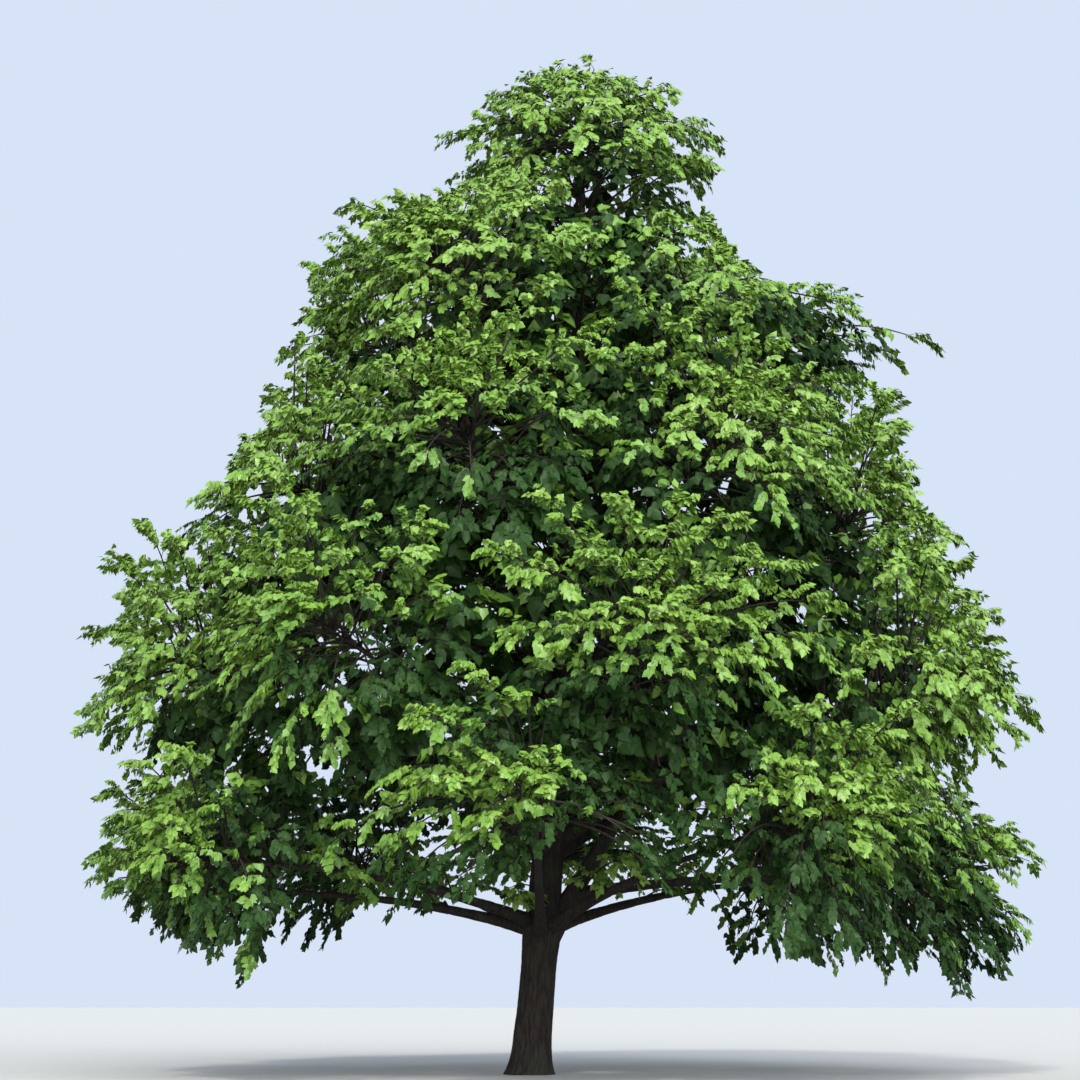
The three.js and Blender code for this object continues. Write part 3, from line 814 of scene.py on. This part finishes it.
# Twigs in a row along a branch's outer part: they open wide at first, close in towards its end and arch over.
row = np.arange(MOST_TWIGS)
twigs_here = TWIGS_PER_METRE * branch_span * (1 + SKIRT_MORE_TWIGS * (1 - rising))
twigs_here = np.clip(np.rint(twigs_here), FEWEST_TWIGS, MOST_TWIGS)[:, None]
twig_seed = branch_seed[:, None] + 1.7 * row
starts = np.where(is_short, LEADER_TWIGS_START, between(SKIRT_TWIGS_START, TWIG_STARTS, rising))[:, None]
twig_place = row + TWIG_PLACE + TWIG_PLACE_SPREAD * jitter(twig_seed)
twig_share = starts + (1 - starts) * np.minimum(twig_place / twigs_here, 1)
whole_share = twig_share[..., None]
twig_root = arcs_along(branch_root, branch_bend, branch_tip, twig_share)
branch_heading = normalized((1 - whole_share) * (branch_bend - branch_root)[:, None]
                            + whole_share * (branch_tip - branch_bend)[:, None])
along_tuft = (twig_share - starts) / (1 - starts)
opening = (between(TWIG_OPEN, TWIG_CLOSE, along_tuft ** TWIG_CLOSING)
           + TWIG_OPEN_SPREAD * (jitter(twig_seed + 0.2) - 0.5))
tuft_face = normalized(np.cross(branch_heading, branch_across[:, None]))
tuft_face = tuft_face * np.where(tuft_face[..., 2:] < 0, -1, 1)
twig_side = by_turns(row + branch_turn[:, None])
roll = between(ROLL_LOWEST, ROLL_HIGHEST, jitter(twig_seed + 0.4))
twig_way = normalized(
    branch_heading * np.cos(opening)[..., None]
    + branch_across[:, None] * (twig_side * np.sin(opening) * np.cos(roll))[..., None]
    + tuft_face * (np.sin(opening) * np.sin(roll))[..., None])
twig_length = TWIG_LENGTH * (TWIG_SHORTEST + TWIG_SPREAD * jitter(twig_seed + 0.8))
twig_length = twig_length * (1 - END_TWIG_SHORTER * along_tuft ** 2)
twig_length = twig_length * np.clip(branch_reach[:, None] / FULL_TWIG_REACH, SHORT_BRANCH_TWIG, 1)
twig_droop = between(SKIRT_DROOP, RISING_DROOP, rising[:, None]) * twig_length
twig_tip = twig_root + twig_way * twig_length[..., None] - UP * twig_droop[..., None]
twig_arch = UP * (TWIG_ARCH * twig_length)[..., None]
twig_bend = twig_root + twig_way * (TWIG_BEND * twig_length)[..., None] + twig_arch

# A twig is kept if it ends inside the leafy edge, above the underside and out of the pockets. Some inner and
# lower ones are thinned out, and a branch that keeps too few loses them all.
twig_height, twig_depth = twig_tip[..., 2], depth_in_crown(twig_tip)
twig_clear = twig_height - underside_at(twig_tip)
inset = LEAF_INSET + LEAF_INSET_SPREAD * jitter(branch_seed + 0.45) - np.where(juts, JUT, 0)
clearance = np.where(juts, -JUT_BELOW, LEAF_CLEARANCE + RAGGED * jitter(branch_seed + 0.27) ** 2)
twig_kept = (row < twigs_here) & (twig_depth > inset[:, None]) & (twig_clear > clearance[:, None])
twig_kept &= ~in_hollow(twig_tip) & (twig_height < TREE_HEIGHT - TOP_INSET)
twig_kept &= (twig_height > SKIRT_TOP) | (jitter(twig_seed + 0.91) < SKIRT_KEPT)
twig_kept &= (twig_depth < DEEP_STARTS) | (jitter(twig_seed + 0.61) < DEEP_KEPT)
twig_kept &= (twig_kept.sum(1) >= np.where(juts, FEWEST_JUTTING, FEWEST_KEPT))[:, None]
twig_kept |= (row < twigs_here) & at_fork[:, None]

last_twig = np.max(np.where(twig_kept, twig_share, 0), 1)
bears = last_twig > 0
branch_share = np.linspace(0, 1, BRANCH_RINGS) * np.minimum(1, last_twig[bears, None] + PAST_LAST_TWIG)
branch_paths = arcs_along(branch_root[bears], branch_bend[bears], branch_tip[bears], branch_share)
branch_thickness = BRANCH_RADIUS * (BRANCH_THINNEST + THICKER_PER_METRE * branch_span[bears, None])
branch_radii = between(branch_thickness, BRANCH_TIP_RADIUS, branch_share)
branches = piece_of("branches", *joined(
    tubes(stem_paths, stem_radii[..., None], stem_across, STEM_SIDES),
    tubes(branch_paths, branch_radii[..., None], branch_across[bears], BRANCH_SIDES)), young_bark)
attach(branches, "root")
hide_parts(*(f"leaves_{name}" for name in mass_names))

twig_depth = np.minimum(twig_depth, twig_clear + UNDERSIDE_INSET) * ~at_fork[:, None]
twig_root, twig_bend, twig_tip, twig_seed, twig_face, twig_depth = (
    values[twig_kept] for values in (twig_root, twig_bend, twig_tip, twig_seed, tuft_face, twig_depth))
twig_branch = np.nonzero(twig_kept)[0]
twig_mass = branch_mass[twig_branch]
twig_across = across_of(twig_root, twig_tip)
twig_paths = arcs_along(twig_root, twig_bend, twig_tip, np.linspace(0, 1, TWIG_RINGS))
twig_radii = np.broadcast_to(np.linspace(TWIG_RADIUS, TWIG_TIP_RADIUS, TWIG_RINGS), twig_paths.shape[:2])


def twig_piece(name, masses):
    """The twigs of some masses as one piece: thin pointed tubes."""
    chosen = np.isin(twig_mass, masses)
    piece = piece_of(name, *tubes(
        twig_paths[chosen], twig_radii[chosen][..., None], twig_across[chosen], TWIG_SIDES, True), young_bark)
    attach(piece, "root")
    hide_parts(*(f"leaves_{mass_names[m]}" for m in masses))


lower_masses = TIERS[0]["count"] + TIERS[1]["count"]
twig_piece("twigs_lower", range(lower_masses))
twig_piece("twigs_upper", range(lower_masses, len(mass_names)))

# The leaves: small hearts with a fine point, on thin stalks to either side of a twig by turns. The blade folds
# a little along its midrib and hangs, satin green above and greyer below. Outer sprays get brighter greens as
# painted sunlight, inner ones darker greens as painted shade.
OUTER_LEAVES = 17
INNER_LEAVES = 6
OUTER_DEPTH = 0.5
INNER_DEPTH = 1.3
LARGER_FROM = 0.9
LARGER_TO = 2.4
STALK_DEPTH = 0.4
LEAF_SHORTEST = 0.056
LEAF_LONGEST = 0.087
INNER_LEAF_SHARE = 2.5
FIRST_LEAF = 0.24
LEAFY_SHARE = 0.76
LEAF_PLACE_SPREAD = 0.5
END_LEAF_FROM = 0.95
END_LEAF_ASIDE = 0.2
TUFT_MIDDLE = 0.7
TUFT_DROP = 0.12
TUFT_HALF_HEIGHT = 0.3
CROWN_LIFT = 0.5
BLADE_FORWARD = 0.3
BLADE_ASIDE = 0.5
BLADE_OUT = 0.25
BLADE_HANG = 0.75
BLADE_LOOSE = 1.3
FACE_TO_TWIG = 0.2
FACE_OFF_TUFT = 0.9
FACE_OUT = 0.5
FACE_UP = 0.3
FACE_LOOSE = 1.1
# Corners in leaf lengths: the blade's foot and point, its left and right lobes, and the stalk's two ends.
LEAF_CORNERS = np.array([
    [0.0, 0.06, 0.0], [0.0, 1.05, -0.18],
    [-0.36, -0.08, -0.10], [-0.47, 0.34, -0.20],
    [0.36, -0.08, -0.10], [0.47, 0.34, -0.20],
    [0.0, -0.34, 0.06], [0.0, 0.05, -0.04],
])
BLADE_FOOT = 0
STALK_FOOT = 6
LEAF_FACES = np.array([[0, 3, 2], [0, 1, 3], [0, 4, 5], [0, 5, 1], [6, 7, 0]])
BLADE_CORNERS = 6
BLADE_FACES = 4
# Six leaf greens, lit and shaded copies of one green: painted shade at the dark end, painted sunlight at the
# bright end.
GREENS = [
    ("leaf_green_shade", (0.018, 0.046, 0.010)),
    ("leaf_green_half_shade", (0.086, 0.178, 0.023)),
    ("leaf_green_summer", (0.113, 0.219, 0.027)),
    ("leaf_green_lit", (0.120, 0.226, 0.029)),
    ("leaf_green_bright", (0.126, 0.230, 0.031)),
    ("leaf_green_sunlit", (0.136, 0.238, 0.035)),
]
# How sprays are dealt greens: painted light and shade by depth in the crown, by height on the tuft, on the
# skirt and round the pockets, with a random spread by spray and by branch.
LIT_DEPTH = 0.35
UNLIT_DEPTH = 1.5
UNLIT_GREEN = -0.3
LIT_GREENS = 3.9
TUFT_TOP_LIGHT = 1.1
SPRAY_GREENS = 1.4
BRANCH_GREENS = 0.8
SKIRT_SHADE = 2.6
SKIRT_SHADE_RISE = 0.2
SKIRT_DARKEST = 1.7
HOLLOW_SHADE = 2.2
HOLLOW_RIM = 1.6
FORK_SUNLIT_GREEN = 5
GREEN_COLUMNS = 3
GREEN_ROWS = 2
UV_MARGIN = 0.06
MIDRIB_WIDTH = 0.045
VEIN_SWEEP = -0.9
VEIN_PITCH = 44.0
MIDDLE_TINT = 1.06
EDGE_TINT = 0.86
VEIN_TINT = 1.35
VEIN_PALER = 0.006
UNDERSIDE_PALER = 0.005
UNDERSIDE_VEIN_TINT = 1.3
UNDERSIDE_VEIN_PALER = 0.01
LEAF_SHINE = 0.38
SHINE_BY_GREEN = 2.0

# Leaves in a row along a twig. The way a blade points and the way it faces are each a weighted sum of the
# directions of its twig, tuft and crown, with a loose part of its own.
inwards = smooth(OUTER_DEPTH, INNER_DEPTH, twig_depth)
leaves_here = np.rint(between(OUTER_LEAVES, INNER_LEAVES, inwards))
on_twig, on_node = np.nonzero(np.arange(OUTER_LEAVES) < leaves_here[:, None])
leaf_seed = twig_seed[on_twig] + 0.37 * on_node
leaf_place = on_node + 0.5 + LEAF_PLACE_SPREAD * (jitter(leaf_seed) - 0.5)
leaf_share = FIRST_LEAF + LEAFY_SHARE * leaf_place / leaves_here[on_twig]
leaf_foot = arc_at(twig_root[on_twig], twig_bend[on_twig], twig_tip[on_twig], leaf_share[:, None])
twig_heading = normalized(twig_tip - twig_root)[on_twig]
leaf_side = by_turns(on_node) * np.where(leaf_share > END_LEAF_FROM, END_LEAF_ASIDE, 1.0)
twig_beside = normalized(np.cross(twig_heading, twig_face[on_twig]))
tuft_middle = arc_at(branch_root, branch_bend, branch_tip, TUFT_MIDDLE) - UP * TUFT_DROP
tuft_out = normalized(leaf_foot - tuft_middle[twig_branch[on_twig]])
crown_out = normalized((leaf_foot - axis_at(leaf_foot[:, 2])) * (1 - UP) + UP * CROWN_LIFT)
loose = np.stack([jitter(leaf_seed + 0.11 * i) - 0.5 for i in range(1, 7)], -1)
leaf_way = normalized(
    BLADE_FORWARD * twig_heading + BLADE_ASIDE * twig_beside * leaf_side[:, None] + BLADE_OUT * crown_out
    - BLADE_HANG * UP + BLADE_LOOSE * loose[:, :3])
leaf_up = (FACE_TO_TWIG * twig_face[on_twig] + FACE_OFF_TUFT * tuft_out + FACE_OUT * crown_out
           + FACE_UP * UP + FACE_LOOSE * loose[:, 3:])
leaf_up = normalized(leaf_up - leaf_way * np.sum(leaf_up * leaf_way, -1, keepdims=True))
leaf_right = np.cross(leaf_way, leaf_up)
leaf_length = between(LEAF_SHORTEST, LEAF_LONGEST, jitter(leaf_seed + 0.9))
leaf_length = leaf_length * between(1, INNER_LEAF_SHARE, smooth(LARGER_FROM, LARGER_TO, twig_depth)[on_twig])
frame_of_leaf = np.stack([leaf_right, leaf_way, leaf_up], -2)
has_stalk = twig_depth[on_twig] < STALK_DEPTH
held_at = LEAF_CORNERS[np.where(has_stalk, STALK_FOOT, BLADE_FOOT)]
leaf_points = leaf_foot[:, None] + leaf_length[:, None, None] * (
    (LEAF_CORNERS - held_at[:, None]) @ frame_of_leaf)

# A spray's green by its place in the list: painted light and shade, lighter near the leafy edge and on top of
# its tuft as if sunlit, darker deep inside, on the skirt of the crown and round the pockets as painted shade,
# and a little by chance.
spray_light = 1 - smooth(LIT_DEPTH, UNLIT_DEPTH, twig_depth)
on_tuft = np.clip((twig_tip - tuft_middle[twig_branch])[:, 2] / TUFT_HALF_HEIGHT, -1, 1)
spray_green = (UNLIT_GREEN + LIT_GREENS * spray_light + TUFT_TOP_LIGHT * on_tuft
               + SPRAY_GREENS * (jitter(twig_seed + 0.05) - 0.5)
               + BRANCH_GREENS * (jitter(branch_seed[twig_branch] + 0.15) - 0.5))
# Painted shade: the lowest sprays, under the wider crown above them, are dealt darker greens.
spray_green -= SKIRT_SHADE * smooth(SKIRT_TOP + SKIRT_SHADE_RISE, SKIRT_DARKEST, twig_tip[:, 2])
# Painted shade: sprays in and round the dark pockets are dealt darker greens.
spray_green -= HOLLOW_SHADE * in_hollow(twig_tip, HOLLOW_RIM)
# Painted sunlight: the two fork shoots get the brightest green.
spray_green = np.where(at_fork[twig_branch], FORK_SUNLIT_GREEN, spray_green)
leaf_green = np.clip(np.rint(spray_green), 0, len(GREENS) - 1).astype(int)[on_twig]
leaf_mass = twig_mass[on_twig]


def leaf_veins_group():
    """The pattern of one leaf in its own map, where every leaf of a green lies over the next: a pale midrib and
    side veins as masks, and how far out towards the edge a place is. The side veins are the crests of a sine
    along the leaf, swept forward from the midrib."""
    group = bpy.data.node_groups.new("leaf_veins", "ShaderNodeTree")
    place = group.nodes.new("ShaderNodeTexCoord").outputs["UV"]
    cells = add_node(group, "ShaderNodeVectorMath", {
        0: place, 1: (GREEN_COLUMNS, GREEN_ROWS, 1)}, operation="MULTIPLY")
    own = add_node(group, "ShaderNodeVectorMath", {0: cells.outputs[0]}, operation="FRACTION")
    split = add_node(group, "ShaderNodeSeparateXYZ", {0: own.outputs[0]})
    beside = reckon(group, "ABSOLUTE", reckon(group, "SUBTRACT", split.outputs["X"], 0.5))
    midrib = map_range(group, beside, end=MIDRIB_WIDTH, low=1.0, high=0.0)
    swept = reckon(group, "MULTIPLY_ADD", beside, VEIN_SWEEP, split.outputs["Y"])
    ripple = reckon(group, "SINE", reckon(group, "MULTIPLY", swept, VEIN_PITCH))
    side_vein = map_range(group, ripple, start=0.72, end=1.0, high=0.6)
    vein = reckon(group, "MAXIMUM", midrib, side_vein)
    edge = map_range(group, beside, start=0.1, end=0.46)
    rough = map_range(group, vein, low=0.36, high=0.52)
    put_out(group, Vein=vein, Edge=edge, Roughness=rough, Height=vein)
    return group


leaf_veins = leaf_veins_group()


def leaf_material(name, green):
    """A satin leaf: its green darkens a little towards the edge, the veins are paler, and the underside is a
    little greyer. The darker the green, the less it shines."""
    material, tree, surface = blank_material(name)
    green = np.array(green)
    veins = add_node(tree, "ShaderNodeGroup", node_tree=leaf_veins)
    blade = blend_colours(tree, veins.outputs["Edge"], green * MIDDLE_TINT, green * EDGE_TINT)
    upper_side = blend_colours(tree, veins.outputs["Vein"], blade, green * VEIN_TINT + VEIN_PALER)
    lower_vein = green * UNDERSIDE_VEIN_TINT + UNDERSIDE_VEIN_PALER
    lower_side = blend_colours(tree, veins.outputs["Vein"], green + UNDERSIDE_PALER, lower_vein)
    turned = tree.nodes.new("ShaderNodeNewGeometry").outputs["Backfacing"]
    tree.links.new(blend_colours(tree, turned, upper_side, lower_side), surface.inputs["Base Color"])
    tree.links.new(veins.outputs["Roughness"], surface.inputs["Roughness"])
    surface.inputs["Specular IOR Level"].default_value = min(LEAF_SHINE, SHINE_BY_GREEN * green[1])
    bump = add_node(tree, "ShaderNodeBump", {
        "Strength": 0.3, "Distance": 0.002, "Height": veins.outputs["Height"]}, invert=True)
    tree.links.new(bump.outputs["Normal"], surface.inputs["Normal"])
    return material


leaf_materials = [leaf_material(name, green) for name, green in GREENS]
leaf_low, leaf_high = LEAF_CORNERS[:, :2].min(0), LEAF_CORNERS[:, :2].max(0)
leaf_map = UV_MARGIN + (1 - 2 * UV_MARGIN) * (LEAF_CORNERS[:, :2] - leaf_low) / (leaf_high - leaf_low)


def leaf_piece(name, masses):
    """The leaves of some masses as one piece: first those with a stalk and then the inner ones, which are the
    blade alone. Each has its corners, its faces, its green and its place in the map, where each green has a
    cell of its own."""
    meshes, greens, places = [], [], []
    kinds = (True, len(LEAF_CORNERS), len(LEAF_FACES)), (False, BLADE_CORNERS, BLADE_FACES)
    for stalk, corners, faces in kinds:
        chosen = np.isin(leaf_mass, masses) & (has_stalk == stalk)
        starts = corners * np.arange(chosen.sum())
        meshes.append((leaf_points[chosen, :corners].reshape(-1, 3),
                       (LEAF_FACES[:faces] + starts[:, None, None]).reshape(-1, 3)))
        green = leaf_green[chosen]
        greens.append(np.repeat(green, faces))
        cell = np.stack([green % GREEN_COLUMNS, green // GREEN_COLUMNS], -1)
        own = (leaf_map[LEAF_FACES[:faces].ravel()] + cell[:, None]) / np.array([GREEN_COLUMNS, GREEN_ROWS])
        places.append(own.ravel())
    piece = piece_of(name, *joined(*meshes), *leaf_materials)
    piece.data.polygons.foreach_set("material_index", np.concatenate(greens).astype(np.int32))
    layer = piece.data.uv_layers.new(name="OFBake")
    layer.uv.foreach_set("vector", np.concatenate(places).astype(np.float32))
    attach(piece, "root")
    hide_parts(*(f"leaves_{mass_names[m]}" for m in masses))


leaf_piece("leaves_lowest_a", [0, 1, 2, 3])
leaf_piece("leaves_lowest_b", [4, 5, 6, 7])
leaf_piece("leaves_low_a", [8, 9, 10, 11])
leaf_piece("leaves_low_b", [12, 13, 14, 15])
leaf_piece("leaves_middle_a", [16, 17, 18, 19])
leaf_piece("leaves_middle_b", [20, 21, 22])
leaf_piece("leaves_upper_a", [23, 24, 25])
leaf_piece("leaves_upper_b_and_top", [26, 27, 28])

# The floor, the light and the camera: a plain pale floor, a key light from the upper front left, a broad soft
# fill from the front right and pale light all round. The camera stands low, 26 m off, and looks up.
FLOOR_HALF = 150.0
FLOOR_COLOUR = (0.42, 0.42, 0.4, 1)
FLOOR_ROUGHNESS = 0.9
LIGHTS = [
    {"name": "key", "energy": 1.9, "softness": 5, "colour": (1.0, 0.96, 0.86), "tilt": 45, "turn": -14},
    {"name": "fill", "energy": 5.6, "softness": 70, "colour": (1.0, 1.0, 1.0), "tilt": 66, "turn": 14},
]
STUDIO_COLOUR = (0.62, 0.70, 0.84, 1)
STUDIO_STRENGTH = 1.1
LENS = 76.5
SENSOR_WIDTH = 36.0
SIGHT = 500.0
CAMERA_PLACE = (0.12, -26.0, 0.85)
CAMERA_PITCH = 11.24

floor_mesh = bpy.data.meshes.new("floor")
floor_mesh.from_pydata(
    [(-FLOOR_HALF, -FLOOR_HALF, 0), (FLOOR_HALF, -FLOOR_HALF, 0), (FLOOR_HALF, FLOOR_HALF, 0),
     (-FLOOR_HALF, FLOOR_HALF, 0)], [], [(0, 1, 2, 3)])
floor = bpy.data.objects.new("floor", floor_mesh)
bpy.context.scene.collection.objects.link(floor)
floor_paint, _, floor_surface = blank_material("pale_floor")
floor_surface.inputs["Base Color"].default_value = FLOOR_COLOUR
floor_surface.inputs["Roughness"].default_value = FLOOR_ROUGHNESS
floor_mesh.materials.append(floor_paint)

for light in LIGHTS:
    lamp = bpy.data.lights.new(light["name"], "SUN")
    lamp.energy = light["energy"]
    lamp.angle = np.radians(light["softness"])
    lamp.color = light["colour"]
    stand = bpy.data.objects.new(light["name"], lamp)
    stand.rotation_euler = (np.radians(light["tilt"]), 0, np.radians(light["turn"]))
    bpy.context.scene.collection.objects.link(stand)

world = bpy.data.worlds.new("studio")
world.use_nodes = True
world.node_tree.nodes["Background"].inputs["Color"].default_value = STUDIO_COLOUR
world.node_tree.nodes["Background"].inputs["Strength"].default_value = STUDIO_STRENGTH
bpy.context.scene.world = world
bpy.context.scene.view_settings.view_transform = "Standard"

lens = bpy.data.cameras.new("camera")
lens.lens = LENS
lens.sensor_width = SENSOR_WIDTH
lens.clip_end = SIGHT
camera = bpy.data.objects.new("camera", lens)
camera.location = CAMERA_PLACE
camera.rotation_euler = (np.radians(90 + CAMERA_PITCH), 0, 0)
bpy.context.scene.collection.objects.link(camera)
bpy.context.scene.camera = camera
